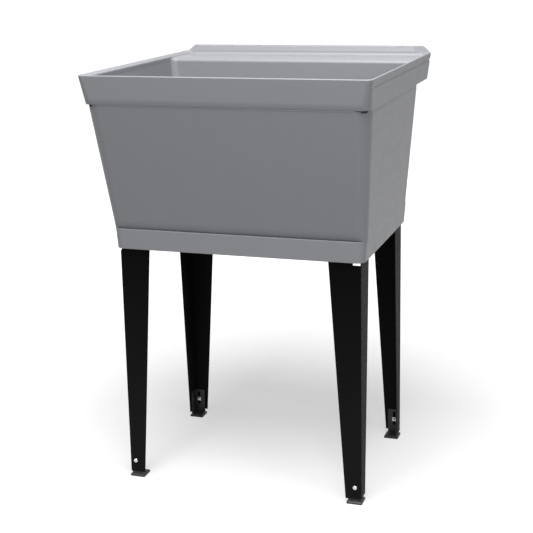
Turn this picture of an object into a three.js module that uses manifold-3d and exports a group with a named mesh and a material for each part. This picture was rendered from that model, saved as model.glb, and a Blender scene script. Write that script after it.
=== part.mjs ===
// A freestanding utility laundry sink: one moulded tub with an apron rim, a rear faucet deck and a
// low backsplash, carried by four tapered steel angle legs on levelling feet, with its drain fitting
// and stopper. Millimetres, +Z up, front towards -Y, origin on the floor under the middle of the sink.
import * as THREE from "three";
import { mergeVertices } from "three/addons/utils/BufferGeometryUtils.js";
import Module from "manifold-3d";

// Overall size
const WIDTH = 581;
const DEPTH = 573;
const RIM_TOP = 857;
const SPLASH_TOP = 870;
const FRONT = -DEPTH / 2;
const REAR = DEPTH / 2;

// Apron: the band that hangs round the rim
const APRON_HEIGHT = 57;
const APRON_DRAFT_SIDE = 6.4;
const APRON_DRAFT_FRONT = 6.5;
const APRON_CORNER = 11;
const APRON_HEM_CORNER = 21;
const APRON_REAR_CORNER = 15;
const APRON_WALL = 4.5;
const RIM_BEAD = 2.5;
const APRON_BOTTOM = RIM_TOP - APRON_HEIGHT;
const CORNER_HOLLOW = 8;

// Faucet deck and backsplash behind the bowl
const DECK_DROP = 7;
const DECK_THICKNESS = 6;
const DECK_TOP = RIM_TOP - DECK_DROP;
const DECK_NOSE_DEPTH = 12;
const DECK_NOSE_HEIGHT = 9;
const SPLASH_FACET_START = 41;
const SPLASH_END_FOOT = 2;
const SPLASH_END_TOP = 20;
const SPLASH_TOP_THICKNESS = 24;
const SPLASH_LEAN = 5;
const SPLASH_FILLET = 9;

// Half width, front, rear and corner radii of a section of the tub
function section(half, front, rear, corner, rearCorner = corner) {
  return { half, front, rear, corner, rearCorner };
}

// Body below the apron: it narrows downwards, and its heel rounds in to the skirt
const BODY_TOP = section(WIDTH / 2 - 6.7, FRONT + 8.5, REAR - 112, 32, 25);
const BODY_FOOT = section(WIDTH / 2 - 27, FRONT + 65.5, REAR - 121.5, 20, 26);
const BODY_HEEL = section(WIDTH / 2 - 29, FRONT + 71.5, REAR - 123.7, 18);
const HEEL_HEIGHT = 10;

// Skirt: the vertical band at the foot of the body
const SKIRT_TOP = 541.8;
const SKIRT_BOTTOM = 500;
const SKIRT_HEAD = section(WIDTH / 2 - 28.4, FRONT + 68.5, REAR - 123.1, 18, 16);
const SKIRT_HEM = section(WIDTH / 2 - 31.8, FRONT + 68.8, REAR - 123.3, 17, 15);
const SKIRT_WALL = 5.5;
const SKIRT_SIDE_WALL = 7;
const SKIRT_INNER_CORNER = 5;
const CEILING = 531;

// Bowl
const BOWL_MOUTH = section(WIDTH / 2 - 11.5, FRONT + 11.5, REAR - 124.5, 5, 14);
const BOWL_FOOT = section(WIDTH / 2 - 35, FRONT + 73.5, REAR - 130.5, 30);
const BOWL_FLOOR = 547;
const BOWL_FILLET = 26;
const LIP_WIDTH = 8.5;
const LIP_DROP = 3.5;

// Drain
const DRAIN_Y = (BOWL_FOOT.front + BOWL_FOOT.rear) / 2;
const SUMP_RADIUS = 46;
const SUMP_TOP = 540;
const SUMP_FLOOR = 537;
const DRAIN_BORE = 23;

// Legs: tapered steel angles, the corner of the fold outwards
const STEEL = 1.8;
const BEND = 3.5;
const LEG_TOP = CEILING - 0.3;
const LEG_BOTTOM = 11;
const LEG_WIDTH_TOP = 67;
const LEG_WIDTH_BOTTOM = 32.4;
const RELIEF_BOTTOM = 494.5;
const RELIEF_WIDE = 16;
const RELIEF_NARROW = 3.6;
const FIT = 0.3;

// Levelling feet, their bolts and nuts
const FOOT_HEIGHT = 60;
const FOOT_WALL = 2.2;
const FOOT_WIDTH = 27;
const FOOT_PLATE = 32;
const FOOT_PLATE_THICKNESS = 3;
const FOOT_PLATE_PROUD = 1.1;
const BOLT_FROM_CORNER = 13;
const BOLT_HEIGHT = 36;
const BOLT_RADIUS = 2.4;
const BOLT_HEAD_RADIUS = 4.4;
const BOLT_HEAD_HEIGHT = 3;
const NUT_WIDTH = 8.4;
const NUT_HEIGHT = 3.6;
const SLOT_HALF_WIDTH = 3;
const SLOT_BOTTOM = 22;
const SLOT_TOP = 55;

const CORNER_STEPS = 5;
const ROUND_STEPS = 32;

const wasm = await Module();
wasm.setup();

// A closed geometry as a solid that can be joined and cut.
function solidOf(geometry) {
  const bare = geometry.index ? geometry.toNonIndexed() : geometry.clone();
  bare.deleteAttribute("normal");
  bare.deleteAttribute("uv");
  const merged = mergeVertices(bare, 1e-4);
  return new wasm.Manifold(
    new wasm.Mesh({
      numProp: 3,
      vertProperties: merged.attributes.position.array,
      triVerts: new Uint32Array(merged.index.array),
    }),
  );
}

function geometryOf(solid) {
  const mesh = solid.getMesh();
  const geometry = new THREE.BufferGeometry();
  geometry.setAttribute("position", new THREE.BufferAttribute(mesh.vertProperties, 3));
  geometry.setIndex(new THREE.BufferAttribute(mesh.triVerts, 1));
  const flat = geometry.toNonIndexed();
  flat.computeVertexNormals();
  return flat;
}

// Points of a rectangle with rounded corners, counter-clockwise, always the same number of points.
function roundedOutline(x0, x1, y0, y1, radius, rearRadius = radius) {
  const corners = [
    [x1 - radius, y0 + radius, radius, -0.5],
    [x1 - rearRadius, y1 - rearRadius, rearRadius, 0],
    [x0 + rearRadius, y1 - rearRadius, rearRadius, 0.5],
    [x0 + radius, y0 + radius, radius, 1],
  ];
  const points = [];
  for (const [cx, cy, r, start] of corners) {
    for (let i = 0; i <= CORNER_STEPS; i++) {
      const angle = (start + (0.5 * i) / CORNER_STEPS) * Math.PI;
      points.push(new THREE.Vector2(cx + r * Math.cos(angle), cy + r * Math.sin(angle)));
    }
  }
  return points;
}

function outlineOf({ half, front, rear, corner, rearCorner }) {
  return roundedOutline(-half, half, front, rear, corner, rearCorner);
}

// A closed solid through outlines of equal point counts, listed from the lowest to the highest.
function loft(sections) {
  const count = sections[0].points.length;
  const positions = [];
  for (const { z, points } of sections) {
    for (const p of points) positions.push(p.x, p.y, z);
  }
  const faces = [];
  for (let s = 0; s + 1 < sections.length; s++) {
    for (let i = 0; i < count; i++) {
      const a = s * count + i;
      const b = s * count + ((i + 1) % count);
      faces.push(a, b, b + count, a, b + count, a + count);
    }
  }
  const last = (sections.length - 1) * count;
  for (const [p, q, r] of THREE.ShapeUtils.triangulateShape(sections[0].points, [])) {
    faces.push(r, q, p);
    faces.push(last + p, last + q, last + r);
  }
  const geometry = new THREE.BufferGeometry();
  geometry.setAttribute("position", new THREE.Float32BufferAttribute(positions, 3));
  geometry.setIndex(faces);
  return solidOf(geometry);
}

// A section of the tub raised straight up from z0 to z1.
function column(plan, z0, z1) {
  const points = outlineOf(plan);
  return loft([
    { z: z0, points },
    { z: z1, points },
  ]);
}

function box(x0, x1, y0, y1, z0, z1) {
  const geometry = new THREE.BoxGeometry(x1 - x0, y1 - y0, z1 - z0);
  return solidOf(geometry.translate((x0 + x1) / 2, (y0 + y1) / 2, (z0 + z1) / 2));
}

// An outline drawn in X and Y, raised along Z from z0 to z1.
function raised(points, z0, z1) {
  const shape = new THREE.Shape(points.map(([x, y]) => new THREE.Vector2(x, y)));
  const geometry = new THREE.ExtrudeGeometry(shape, { depth: z1 - z0, bevelEnabled: false });
  return geometry.translate(0, 0, z0);
}

// An outline drawn in X and Z, swept along Y from y0 to y1.
function sweptAlongY(points, y0, y1) {
  return solidOf(raised(points, -y1, -y0).rotateX(Math.PI / 2));
}

// An outline drawn in Y and Z, swept along X from x0 to x1.
function sweptAlongX(points, x0, x1) {
  return solidOf(raised(points, x0, x1).rotateX(Math.PI / 2).rotateZ(Math.PI / 2));
}

// A turned piece on the Z axis: a closed profile of [radius, z] pairs, counter-clockwise.
function turned(profile, steps = ROUND_STEPS) {
  const points = profile.map(([radius, z]) => new THREE.Vector2(radius, z));
  points.push(points[0].clone());
  return solidOf(new THREE.LatheGeometry(points, steps).rotateX(Math.PI / 2));
}

// A cylinder on the Z axis with a given number of sides.
function post(radius, z0, z1, sides = ROUND_STEPS) {
  const geometry = new THREE.CylinderGeometry(radius, radius, z1 - z0, sides);
  return solidOf(geometry.rotateX(Math.PI / 2).translate(0, 0, (z0 + z1) / 2));
}

function moved(solid, x, y, z) {
  return solid.translate([x, y, z]);
}

// Sections of the tub ------------------------------------------------------------------------

function between(low, high, share) {
  const mixed = {};
  for (const key in low) mixed[key] = low[key] + (high[key] - low[key]) * share;
  return mixed;
}

function inset({ half, front, rear, corner, rearCorner }, by) {
  const round = (radius) => Math.max(radius - by, 1);
  return section(half - by, front + by, rear - by, round(corner), round(rearCorner));
}

const APRON_TOP = section(WIDTH / 2, FRONT, REAR, APRON_CORNER, APRON_REAR_CORNER);
const APRON_HEM = section(
  WIDTH / 2 - APRON_DRAFT_SIDE,
  FRONT + APRON_DRAFT_FRONT,
  REAR - APRON_DRAFT_FRONT,
  APRON_HEM_CORNER,
  APRON_REAR_CORNER,
);

function apronSolid() {
  return loft([
    { z: APRON_BOTTOM, points: outlineOf(APRON_HEM) },
    { z: RIM_TOP - RIM_BEAD, points: outlineOf(APRON_TOP) },
    { z: RIM_TOP, points: outlineOf(inset(APRON_TOP, RIM_BEAD)) },
  ]);
}

// Plan of the backsplash at one height: facets cut its ends from its face back to its rear corners.
function splashPlan(rearHalf, faceY) {
  const reach = 40;
  const start = WIDTH / 2 - SPLASH_FACET_START;
  const slope = (rearHalf - start) / (REAR - faceY);
  const near = start - reach * slope;
  const far = rearHalf + slope;
  return [
    new THREE.Vector2(-near, faceY - reach),
    new THREE.Vector2(near, faceY - reach),
    new THREE.Vector2(far, REAR + 1),
    new THREE.Vector2(-far, REAR + 1),
  ];
}

function splashSolid() {
  const half = WIDTH / 2;
  const face = REAR - SPLASH_TOP_THICKNESS;
  const foot = DECK_TOP - DECK_THICKNESS;
  const profile = [
    [REAR, foot],
    [REAR, SPLASH_TOP],
    [face, SPLASH_TOP],
  ];
  for (let i = 0; i <= CORNER_STEPS; i++) {
    const angle = (0.5 * Math.PI * i) / CORNER_STEPS;
    const y = face - SPLASH_LEAN - SPLASH_FILLET * (1 - Math.cos(angle));
    const z = DECK_TOP + SPLASH_FILLET * (1 - Math.sin(angle));
    profile.push([y, z]);
  }
  profile.push([face - SPLASH_LEAN - SPLASH_FILLET, foot]);
  const bar = sweptAlongX(profile, -half, half);
  const footPlan = splashPlan(half - SPLASH_END_FOOT, face - SPLASH_LEAN);
  const ends = loft([
    { z: foot - 1, points: footPlan },
    { z: RIM_TOP, points: footPlan },
    { z: SPLASH_TOP + 0.5, points: splashPlan(half - SPLASH_END_TOP, face) },
  ]);
  const envelope = loft([
    { z: APRON_BOTTOM, points: outlineOf(APRON_HEM) },
    { z: RIM_TOP - RIM_BEAD, points: outlineOf(APRON_TOP) },
    { z: SPLASH_TOP + 1, points: outlineOf(APRON_TOP) },
  ]);
  return bar.intersect(ends).intersect(envelope);
}

function bodySolid() {
  const skirt = loft([
    { z: SKIRT_BOTTOM, points: outlineOf(SKIRT_HEM) },
    { z: SKIRT_TOP, points: outlineOf(SKIRT_HEAD) },
  ]);
  const panel = loft([
    { z: SKIRT_TOP - 5, points: outlineOf(BODY_HEEL) },
    { z: SKIRT_TOP, points: outlineOf(BODY_HEEL) },
    { z: SKIRT_TOP + HEEL_HEIGHT, points: outlineOf(BODY_FOOT) },
    { z: APRON_BOTTOM, points: outlineOf(BODY_TOP) },
    { z: DECK_TOP - 1, points: outlineOf(BODY_TOP) },
  ]);
  return skirt.add(panel);
}

// The bowl as a solid to be cut out: a floor that falls to the sump, the rounded foot, the walls, the
// round nose of the deck behind them and the rim's sloping lip.
function bowlSpace() {
  const sections = [];
  const noseFoot = DECK_TOP - DECK_NOSE_HEIGHT;
  const front = DRAIN_Y - SUMP_RADIUS;
  const sump = section(SUMP_RADIUS, front, DRAIN_Y + SUMP_RADIUS, SUMP_RADIUS - 0.01);
  sections.push({ z: SUMP_FLOOR, points: outlineOf(sump) });
  sections.push({ z: SUMP_TOP, points: outlineOf(sump) });
  for (let i = 0; i <= CORNER_STEPS; i++) {
    const angle = (0.5 * Math.PI * i) / CORNER_STEPS;
    const rise = BOWL_FILLET * (1 - Math.cos(angle));
    const shrink = BOWL_FILLET * (1 - Math.sin(angle));
    const z = BOWL_FLOOR + rise;
    const share = rise / (noseFoot - BOWL_FLOOR);
    const wall = between(BOWL_FOOT, BOWL_MOUTH, share);
    const foot = inset(wall, shrink);
    const corner = wall.corner - shrink / 2;
    const rearCorner = wall.rearCorner - shrink / 2;
    sections.push({ z, points: outlineOf({ ...foot, corner, rearCorner }) });
  }
  for (let i = 0; i <= CORNER_STEPS; i++) {
    const angle = (0.5 * Math.PI * i) / CORNER_STEPS;
    const rear = BOWL_MOUTH.rear + DECK_NOSE_DEPTH * (1 - Math.cos(angle));
    const z = noseFoot + DECK_NOSE_HEIGHT * Math.sin(angle);
    sections.push({ z, points: outlineOf({ ...BOWL_MOUTH, rear }) });
  }
  const mouth = { ...BOWL_MOUTH, rear: BOWL_MOUTH.rear + DECK_NOSE_DEPTH };
  sections.push({ z: RIM_TOP - LIP_DROP, points: outlineOf(mouth) });
  sections.push({ z: RIM_TOP, points: outlineOf(inset(mouth, -LIP_WIDTH)) });
  sections.push({ z: SPLASH_TOP + 1, points: outlineOf(inset(mouth, -LIP_WIDTH)) });
  return loft(sections);
}

// The step down from the side rims to the faucet deck, with the rim's sloping lip along its ends.
function deckSpace() {
  const foot = BOWL_MOUTH.half;
  const crest = foot + LIP_WIDTH;
  const step = [
    [-foot, DECK_TOP],
    [foot, DECK_TOP],
    [foot, RIM_TOP - LIP_DROP],
    [crest, RIM_TOP],
    [crest, SPLASH_TOP + 5],
    [-crest, SPLASH_TOP + 5],
    [-crest, RIM_TOP],
    [-foot, RIM_TOP - LIP_DROP],
  ];
  return sweptAlongY(step, BOWL_MOUTH.rear - 60, REAR - SPLASH_TOP_THICKNESS);
}

// Hollows under the rim: behind the body up to the deck, and low ones where its front corners turn.
function underRimSpace() {
  const half = APRON_HEM.half - APRON_WALL;
  const front = BODY_TOP.front + 0.5;
  const middle = BODY_TOP.rear - BODY_TOP.rearCorner;
  const rear = APRON_HEM.rear - APRON_WALL;
  const low = APRON_BOTTOM - 1;
  const frontPlan = section(half, front, middle + 1, APRON_HEM_CORNER - APRON_WALL, 1);
  const rearPlan = section(half, middle, rear, 1, APRON_REAR_CORNER - APRON_WALL);
  const frontPart = column(frontPlan, low, APRON_BOTTOM + CORNER_HOLLOW);
  const rearPart = column(rearPlan, low, DECK_TOP - DECK_THICKNESS);
  return frontPart.add(rearPart).subtract(column(BODY_TOP, low - 1, DECK_TOP));
}

// Rib that holds the top of a leg against the skirt, in the leg's own corner frame.
function socketRib() {
  const slot = STEEL + 2 * FIT;
  const rib = 3;
  const reach = LEG_WIDTH_TOP + 1;
  const outer = slot + rib;
  const points = [
    [reach + rib, -1],
    [reach + rib, outer],
    [outer, outer],
    [outer, reach + rib],
    [-1, reach + rib],
    [-1, reach],
    [slot, reach],
    [slot, slot],
    [reach, slot],
    [reach, -1],
  ];
  return solidOf(raised(points, SKIRT_BOTTOM + 8, CEILING + 1));
}

const UNDERSIDE = section(
  SKIRT_HEM.half - SKIRT_SIDE_WALL,
  SKIRT_HEM.front + SKIRT_WALL,
  SKIRT_HEM.rear - SKIRT_WALL,
  SKIRT_INNER_CORNER,
);

// The four corners: where each leg's outer fold stands, how far the leg is turned, and whether its
// front or rear flange, which takes the bolt, is the one along the corner's own X.
const CORNERS = [
  { name: "front_left", x: -UNDERSIDE.half, y: UNDERSIDE.front, turn: 0, boltAlongX: true },
  { name: "front_right", x: UNDERSIDE.half, y: UNDERSIDE.front, turn: 90, boltAlongX: false },
  { name: "rear_right", x: UNDERSIDE.half, y: UNDERSIDE.rear, turn: 180, boltAlongX: true },
  { name: "rear_left", x: -UNDERSIDE.half, y: UNDERSIDE.rear, turn: 270, boltAlongX: false },
];

function tubSolid() {
  const underside = column(UNDERSIDE, SKIRT_BOTTOM - 1, CEILING);
  const rim = apronSolid().subtract(underRimSpace()).subtract(deckSpace());
  let tub = rim.add(bodySolid()).add(splashSolid()).subtract(bowlSpace()).subtract(underside);
  for (const { x, y, turn } of CORNERS) {
    tub = tub.add(moved(socketRib().rotate([0, 0, turn]), x, y, 0));
  }
  return tub.subtract(moved(post(DRAIN_BORE, CEILING - 1, SUMP_FLOOR + 1), 0, DRAIN_Y, 0));
}

// Legs and feet, each in a corner frame: outer fold on the Z axis, flanges along +X and +Y ----

function angleSection(offset, wall, width, bend) {
  const points = [
    [width, offset],
    [width, offset + wall],
    [offset + wall, offset + wall],
    [offset + wall, width],
    [offset, width],
  ];
  for (let i = 0; i <= 4; i++) {
    const angle = (1 + (0.5 * i) / 4) * Math.PI;
    const x = offset + bend + bend * Math.cos(angle);
    const y = offset + bend + bend * Math.sin(angle);
    points.push([x, y]);
  }
  return points;
}

// A hole or slot through the flange along Y, and its copy through the flange along X.
function throughBothFlanges(alongY) {
  return alongY.add(alongY.rotate([0, 0, -90]).mirror([0, 1, 0]));
}

function legGeometry() {
  const angle = solidOf(raised(angleSection(0, STEEL, LEG_WIDTH_TOP, BEND), LEG_BOTTOM, LEG_TOP));
  const taper = [
    [-1, LEG_BOTTOM - 1],
    [LEG_WIDTH_BOTTOM, LEG_BOTTOM - 1],
    [LEG_WIDTH_TOP, LEG_TOP + 1],
    [-1, LEG_TOP + 1],
  ];
  let leg = angle.intersect(sweptAlongY(taper, -1, LEG_WIDTH_TOP + 1));
  leg = leg.intersect(sweptAlongX(taper, -1, LEG_WIDTH_TOP + 1));
  const hole = post(BOLT_RADIUS + FIT, -4, 4, 16).rotate([90, 0, 0]);
  leg = leg.subtract(throughBothFlanges(moved(hole, BOLT_FROM_CORNER, 0, BOLT_HEIGHT)));
  return geometryOf(
    leg.subtract(box(-1, RELIEF_NARROW, -1, RELIEF_WIDE, RELIEF_BOTTOM, LEG_TOP + 1)),
  );
}

function slotOutline() {
  const points = [];
  const steps = 8;
  for (const [z, start] of [
    [SLOT_TOP - SLOT_HALF_WIDTH, 0],
    [SLOT_BOTTOM + SLOT_HALF_WIDTH, 1],
  ]) {
    for (let i = 0; i <= steps; i++) {
      const angle = (start + i / steps) * Math.PI;
      points.push([
        BOLT_FROM_CORNER + SLOT_HALF_WIDTH * Math.cos(angle),
        z + SLOT_HALF_WIDTH * Math.sin(angle),
      ]);
    }
  }
  return points;
}

function footGeometry() {
  const offset = STEEL + FIT;
  const near = -FOOT_PLATE_PROUD;
  const far = FOOT_PLATE - FOOT_PLATE_PROUD;
  const upright = solidOf(
    raised(angleSection(offset, FOOT_WALL, offset + FOOT_WIDTH - 2, BEND - 1), 1, FOOT_HEIGHT),
  );
  const plate = loft([
    { z: 0, points: roundedOutline(near, far, near, far, 2) },
    { z: FOOT_PLATE_THICKNESS, points: roundedOutline(near, far, near, far, 2) },
    { z: FOOT_PLATE_THICKNESS + 2.5, points: roundedOutline(1.2, far - 4, 1.2, far - 4, 2) },
  ]);
  const slot = sweptAlongY(slotOutline(), -1, offset + FOOT_WALL + 1);
  return geometryOf(upright.add(plate).subtract(throughBothFlanges(slot)));
}

// A bolt through a flange: its head outside, its shank inwards along +Y.
function boltGeometry() {
  const length = STEEL + FOOT_WALL + NUT_HEIGHT + 3 * FIT + 1.5;
  const head = post(BOLT_HEAD_RADIUS, -BOLT_HEAD_HEIGHT - FIT, -FIT, 24);
  const shank = post(BOLT_RADIUS, -FIT - 1, length, 16);
  return geometryOf(head.add(shank).rotate([-90, 0, 0]));
}

function nutGeometry() {
  const start = STEEL + FOOT_WALL + 2 * FIT;
  const half = NUT_WIDTH / 2;
  const block = box(-half, half, -half, half, start, start + NUT_HEIGHT);
  const bore = post(BOLT_RADIUS + FIT, start - 1, start + NUT_HEIGHT + 1, 16);
  return geometryOf(block.subtract(bore).rotate([-90, 0, 0]));
}

// Drain fitting, on the Z axis under the sump -------------------------------------------------

const FLANGE_TOP = SUMP_TOP - 0.2;
const SHANK_RADIUS = 22;
const THROAT_RADIUS = 18.5;
const SHANK_BOTTOM = 500;
const GASKET_TOP = CEILING - FIT;
const GASKET_BOTTOM = GASKET_TOP - 3;
const WASHER_TOP = GASKET_BOTTOM - FIT;
const WASHER_BOTTOM = WASHER_TOP - 1;
const LOCKNUT_TOP = WASHER_BOTTOM - FIT;
const LOCKNUT_BOTTOM = LOCKNUT_TOP - 9;
const TAIL_WASHER_TOP = SHANK_BOTTOM - FIT;
const TAIL_WASHER_BOTTOM = TAIL_WASHER_TOP - 1.5;
const TAIL_FLANGE_TOP = TAIL_WASHER_BOTTOM - FIT;
const TAIL_FLANGE_BOTTOM = TAIL_FLANGE_TOP - 2;
const TAIL_RADIUS = 19;
const TAIL_BORE = 17.4;
const TAIL_BOTTOM = 454;

function strainerGeometry() {
  const cup = turned([
    [THROAT_RADIUS, SHANK_BOTTOM],
    [SHANK_RADIUS, SHANK_BOTTOM],
    [SHANK_RADIUS, SUMP_FLOOR + FIT],
    [SUMP_RADIUS - 1.2, SUMP_FLOOR + FIT],
    [SUMP_RADIUS - 2, FLANGE_TOP],
    [THROAT_RADIUS + 4, FLANGE_TOP - 0.8],
    [THROAT_RADIUS, FLANGE_TOP - 3],
  ]);
  const barTop = SUMP_FLOOR - 12;
  const reach = THROAT_RADIUS + 1;
  const bar = box(-reach, reach, -1.5, 1.5, barTop - 3, barTop);
  return geometryOf(cup.add(bar).add(bar.rotate([0, 0, 90])));
}

function ringGeometry(inner, outer, bottom, top) {
  return geometryOf(post(outer, bottom, top).subtract(post(inner, bottom - 1, top + 1)));
}

function locknutGeometry() {
  const lugs = 6;
  let nut = post(31, LOCKNUT_BOTTOM, LOCKNUT_TOP);
  for (let i = 0; i < lugs; i++) {
    const lug = box(29, 35, -4, 4, LOCKNUT_BOTTOM, LOCKNUT_TOP - 1.5);
    nut = nut.add(lug.rotate([0, 0, (360 / lugs) * i]));
  }
  const bore = post(SHANK_RADIUS + FIT, LOCKNUT_BOTTOM - 1, LOCKNUT_TOP + 1);
  return geometryOf(nut.subtract(bore));
}

function slipNutGeometry() {
  const top = SHANK_BOTTOM + 9;
  const bottom = TAIL_FLANGE_BOTTOM - FIT - 3;
  const body = post(28, bottom, top, 8);
  const thread = post(SHANK_RADIUS + FIT, TAIL_FLANGE_BOTTOM - FIT, top + 1);
  const hole = post(TAIL_RADIUS + FIT, bottom - 1, top);
  return geometryOf(body.subtract(thread).subtract(hole));
}

function tailpieceGeometry() {
  return geometryOf(
    turned([
      [TAIL_BORE, TAIL_BOTTOM],
      [TAIL_RADIUS, TAIL_BOTTOM],
      [TAIL_RADIUS, TAIL_FLANGE_BOTTOM],
      [SHANK_RADIUS - 0.5, TAIL_FLANGE_BOTTOM],
      [SHANK_RADIUS - 0.5, TAIL_FLANGE_TOP],
      [TAIL_BORE, TAIL_FLANGE_TOP],
    ]),
  );
}

const STOPPER_DISC_BOTTOM = FLANGE_TOP + FIT;
const STOPPER_DISC_TOP = STOPPER_DISC_BOTTOM + 3;
const LUG_HOLE_Z = STOPPER_DISC_TOP + 4.5;
const PULL_RING_RADIUS = 9;
const PULL_WIRE = 1.1;

function stopperGeometry() {
  const plug = turned([
    [0, FLANGE_TOP - 12],
    [THROAT_RADIUS - 1.6, FLANGE_TOP - 12],
    [THROAT_RADIUS - 0.5, FLANGE_TOP - 3],
    [THROAT_RADIUS - 0.5, STOPPER_DISC_BOTTOM],
    [THROAT_RADIUS + 4.5, STOPPER_DISC_BOTTOM],
    [THROAT_RADIUS + 3.5, STOPPER_DISC_TOP],
    [0, STOPPER_DISC_TOP],
  ]);
  const lug = box(-4, 4, -1.8, 1.8, STOPPER_DISC_TOP - 1, LUG_HOLE_Z + 4);
  const hole = post(PULL_WIRE + 0.6, -3, 3, 12).rotate([90, 0, 0]);
  return geometryOf(plug.add(lug).subtract(moved(hole, 0, 0, LUG_HOLE_Z)));
}

// The wire ring passes through the lug's hole and leans down until its far side lies on the disc.
function pullRingGeometry() {
  const drop = LUG_HOLE_Z - STOPPER_DISC_TOP - PULL_WIRE - FIT;
  const lean = Math.asin(drop / (2 * PULL_RING_RADIUS));
  const ring = new THREE.TorusGeometry(PULL_RING_RADIUS, PULL_WIRE, 8, 24);
  ring.translate(PULL_RING_RADIUS, 0, 0).rotateY(lean);
  return ring.translate(0, 0, LUG_HOLE_Z);
}

// Assembly ------------------------------------------------------------------------------------

const FINISHES = {
  tub: { color: 0x7f8084, roughness: 0.42, metalness: 0 },
  leg: { color: 0x141414, roughness: 0.45, metalness: 0.2 },
  foot: { color: 0x1b1a1b, roughness: 0.6, metalness: 0 },
  zinc: { color: 0xc9ccd0, roughness: 0.3, metalness: 0.9 },
  steel: { color: 0xb9bcc0, roughness: 0.25, metalness: 1 },
  rubber: { color: 0x1a1a1a, roughness: 0.85, metalness: 0 },
  white: { color: 0xd8d8d4, roughness: 0.5, metalness: 0 },
};

const sink = new THREE.Group();

function piece(name, geometry, finish, parent = sink) {
  const mesh = new THREE.Mesh(geometry, new THREE.MeshStandardMaterial(FINISHES[finish]));
  mesh.name = name;
  parent.add(mesh);
  return mesh;
}

piece("tub", geometryOf(tubSolid()), "tub");

for (const { name, x, y, turn, boltAlongX } of CORNERS) {
  const corner = new THREE.Group();
  corner.position.set(x - FIT * Math.sign(x), y - FIT * Math.sign(y), 0);
  corner.rotation.z = THREE.MathUtils.degToRad(turn);
  sink.add(corner);
  piece(`leg_${name}`, legGeometry(), "leg", corner);
  piece(`foot_${name}`, footGeometry(), "foot", corner);
  const bolt = piece(`foot_bolt_${name}`, boltGeometry(), "zinc", corner);
  const nut = piece(`foot_nut_${name}`, nutGeometry(), "zinc", corner);
  for (const fastener of [bolt, nut]) {
    const [along, across] = boltAlongX ? [BOLT_FROM_CORNER, 0] : [0, BOLT_FROM_CORNER];
    fastener.position.set(along, across, BOLT_HEIGHT);
    fastener.rotation.z = boltAlongX ? 0 : -Math.PI / 2;
  }
}

const drain = new THREE.Group();
drain.position.set(0, DRAIN_Y, 0);
sink.add(drain);
piece("drain_strainer", strainerGeometry(), "steel", drain);
piece("drain_gasket", ringGeometry(SHANK_RADIUS + FIT, 34, GASKET_BOTTOM, GASKET_TOP), "rubber", drain);
piece("drain_washer", ringGeometry(SHANK_RADIUS + FIT, 33, WASHER_BOTTOM, WASHER_TOP), "white", drain);
piece("drain_locknut", locknutGeometry(), "white", drain);
piece(
  "tailpiece_washer",
  ringGeometry(TAIL_BORE + 1, SHANK_RADIUS - 0.5, TAIL_WASHER_BOTTOM, TAIL_WASHER_TOP),
  "rubber",
  drain,
);
piece("tailpiece", tailpieceGeometry(), "white", drain);
piece("tailpiece_nut", slipNutGeometry(), "white", drain);
piece("drain_stopper", stopperGeometry(), "rubber", drain);
piece("stopper_ring", pullRingGeometry(), "steel", drain);

export default sink;
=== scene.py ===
import math

import bmesh
import bpy
from mathutils import Matrix, Vector


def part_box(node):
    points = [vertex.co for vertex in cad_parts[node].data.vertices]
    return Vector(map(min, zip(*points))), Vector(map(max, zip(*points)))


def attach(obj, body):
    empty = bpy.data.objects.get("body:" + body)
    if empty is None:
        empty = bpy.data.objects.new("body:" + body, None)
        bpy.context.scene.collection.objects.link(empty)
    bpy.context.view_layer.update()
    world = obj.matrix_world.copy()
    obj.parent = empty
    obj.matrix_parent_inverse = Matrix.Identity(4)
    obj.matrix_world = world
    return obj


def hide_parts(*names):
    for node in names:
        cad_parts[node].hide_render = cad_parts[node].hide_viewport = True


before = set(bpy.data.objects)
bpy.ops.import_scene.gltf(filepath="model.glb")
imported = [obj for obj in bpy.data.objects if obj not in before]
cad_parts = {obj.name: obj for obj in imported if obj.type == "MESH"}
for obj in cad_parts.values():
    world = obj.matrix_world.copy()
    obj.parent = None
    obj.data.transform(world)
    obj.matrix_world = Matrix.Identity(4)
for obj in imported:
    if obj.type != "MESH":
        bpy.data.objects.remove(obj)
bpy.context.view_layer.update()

MM = 0.001
TUB_LOW, TUB_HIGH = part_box("tub")
CORNERS = ("front_left", "front_right", "rear_right", "rear_left")

# Camera, in the photograph's 533 x 533 frame
FRAME_PIXELS = 533
FOCAL_PIXELS = 1182.09
PRINCIPAL_POINT_RISE = 40
CAMERA_PLACE = (0.77366, -2.32698, 1.08583)
CAMERA_YAW = 0.32392
CAMERA_PITCH = 0.23074
CAMERA_ROLL = 0.02027
SENSOR_MM = 36

# Tub, in millimetres
HALF = TUB_HIGH.x / MM
FRONT = TUB_LOW.y / MM
REAR = TUB_HIGH.y / MM
SPLASH_TOP = TUB_HIGH.z / MM
SKIRT_BOTTOM = TUB_LOW.z / MM
SPLASH_RISE = 13
APRON_HEIGHT = 57
DECK_DROP = 7
RIM_TOP = SPLASH_TOP - SPLASH_RISE
APRON_BOTTOM = RIM_TOP - APRON_HEIGHT
APRON_WALL = 4.5
HEM_HEIGHT = 12
HEM_CURL = 1.4
RIM_ROUND = 2.2
DECK_TOP = RIM_TOP - DECK_DROP
DECK_THICKNESS = 6
DECK_NOSE_DEPTH = 12
DECK_NOSE_HEIGHT = 9
DECK_FILLET = 2
SPLASH_FACE_TOP = REAR - 25.5
SPLASH_FACE_FOOT = REAR - 29
SPLASH_EDGE = 2.2
SPLASH_FILLET = 9
SPLASH_FACET_REACH = 40
CORNER_HOLLOW = 8
SKIRT_TOP = SKIRT_BOTTOM + 41.8
SKIRT_WALL = 5.5
SKIRT_SIDE_WALL = 7
SKIRT_EDGE = 1.2
CEILING = SKIRT_BOTTOM + 31
HEEL_HEIGHT = 12
HEEL_DENT = 3.4
HEEL_LAP = 6
HEEL_TUCK = 2
BOWL_FLOOR = 547
BOWL_FILLET = 26
SUMP_RADIUS = 46
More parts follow.
